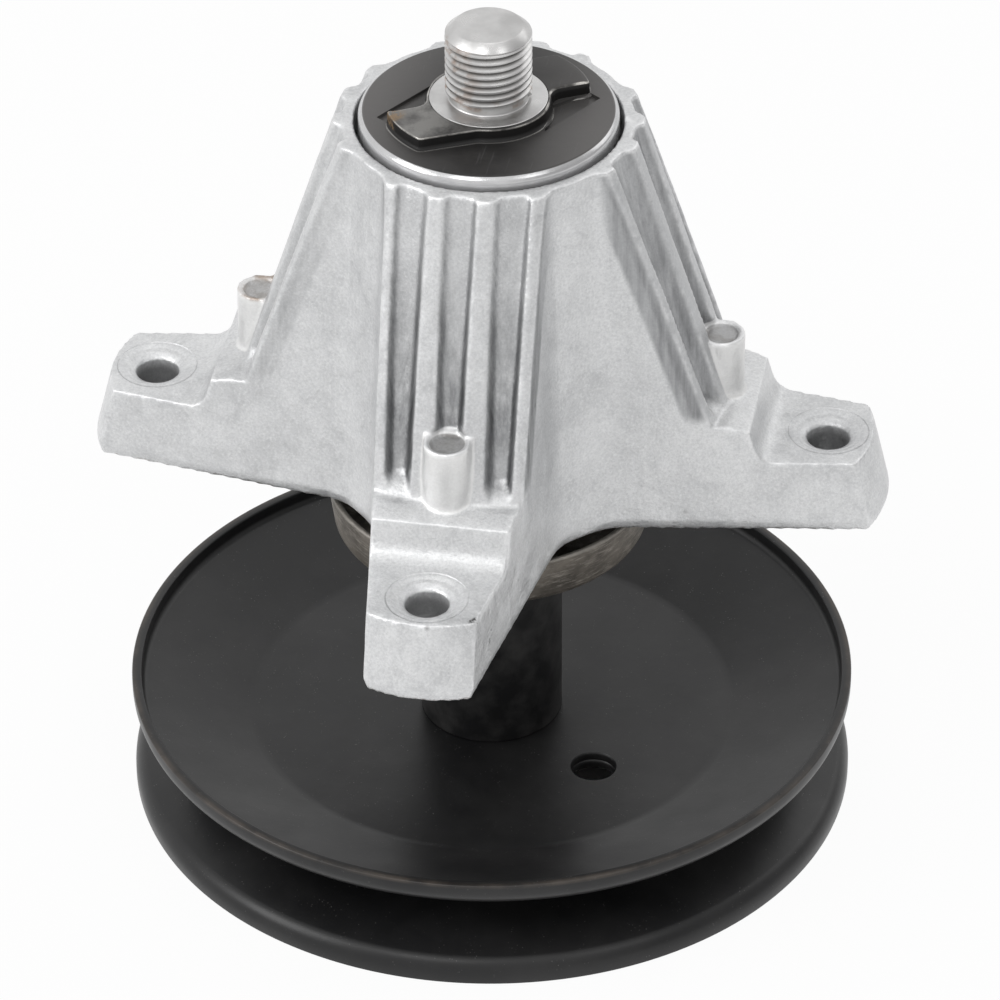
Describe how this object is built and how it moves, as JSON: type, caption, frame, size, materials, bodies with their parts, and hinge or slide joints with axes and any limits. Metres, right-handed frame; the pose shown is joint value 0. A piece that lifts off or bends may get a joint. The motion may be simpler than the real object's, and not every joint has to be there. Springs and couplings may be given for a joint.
{
  "type": "mower deck spindle",
  "caption": "Mower deck spindle: a cast housing with bolt-down legs carries a shaft in ball bearings, with a belt pulley at one end and a keyed blade stud at the other.",
  "frame": {"origin": "centre of the shaft's axis in the plane of the pulley's lower rim, on which the part stands", "axes": "+Z along the shaft towards the blade stud; +X and +Y along two of the housing's four legs"},
  "size_m": [0.152, 0.152, 0.1674],
  "materials": {
    "cast_aluminium": "rough as cast, mottled and slightly stained",
    "machined_steel": "turned bright steel with light rust in the thread",
    "black_oxide": "satin black oxide with a bright worn edge",
    "turned_steel": "turned",
    "black_paint": "matte black",
    "bare_sheet": "dull grey-brown pressed sheet",
    "pulley_paint": "satin black with fine dust",
    "zinc_plate": "zinc plated",
    "bearing_steel": "ground",
    "ball_steel": "polished",
    "cage_steel": "pressed",
    "seal_rubber": "matte black"
  },
  "bodies": {
    "housing": {"housing": "cast_aluminium", "upper_outer_race": "bearing_steel", "lower_outer_race": "bearing_steel", "upper_seal_top": "seal_rubber", "upper_seal_bottom": "seal_rubber", "lower_seal_top": "seal_rubber", "lower_seal_bottom": "seal_rubber"},
    "rotor": {"shaft": "machined_steel", "drive_key_disc": "black_oxide", "race_spacer": "turned_steel", "hub_spacer": "black_paint", "dust_cup": "bare_sheet", "pulley_upper_disc": "pulley_paint", "pulley_lower_disc": "pulley_paint", "washer": "zinc_plate", "pulley_nut": "zinc_plate", "upper_inner_race": "bearing_steel", "lower_inner_race": "bearing_steel"},
    "upper_ball_set": {"upper_balls": "ball_steel", "upper_cage": "cage_steel"},
    "lower_ball_set": {"lower_balls": "ball_steel", "lower_cage": "cage_steel"}
  },
  "joints": [
    {"name": "spindle_spin", "type": "hinge", "parent": "housing", "child": "rotor", "pos_m": [0, 0, 0.107], "axis": [0, 0, 1], "continuous": true},
    {"name": "upper_cage_spin", "type": "hinge", "parent": "housing", "child": "upper_ball_set", "pos_m": [0, 0, 0.1342], "axis": [0, 0, 1], "continuous": true},
    {"name": "lower_cage_spin", "type": "hinge", "parent": "housing", "child": "lower_ball_set", "pos_m": [0, 0, 0.0796], "axis": [0, 0, 1], "continuous": true}
  ],
  "couplings": [
    {"joint": "upper_cage_spin", "follows": "spindle_spin", "ratio": 0.382},
    {"joint": "lower_cage_spin", "follows": "spindle_spin", "ratio": 0.382}
  ]
}
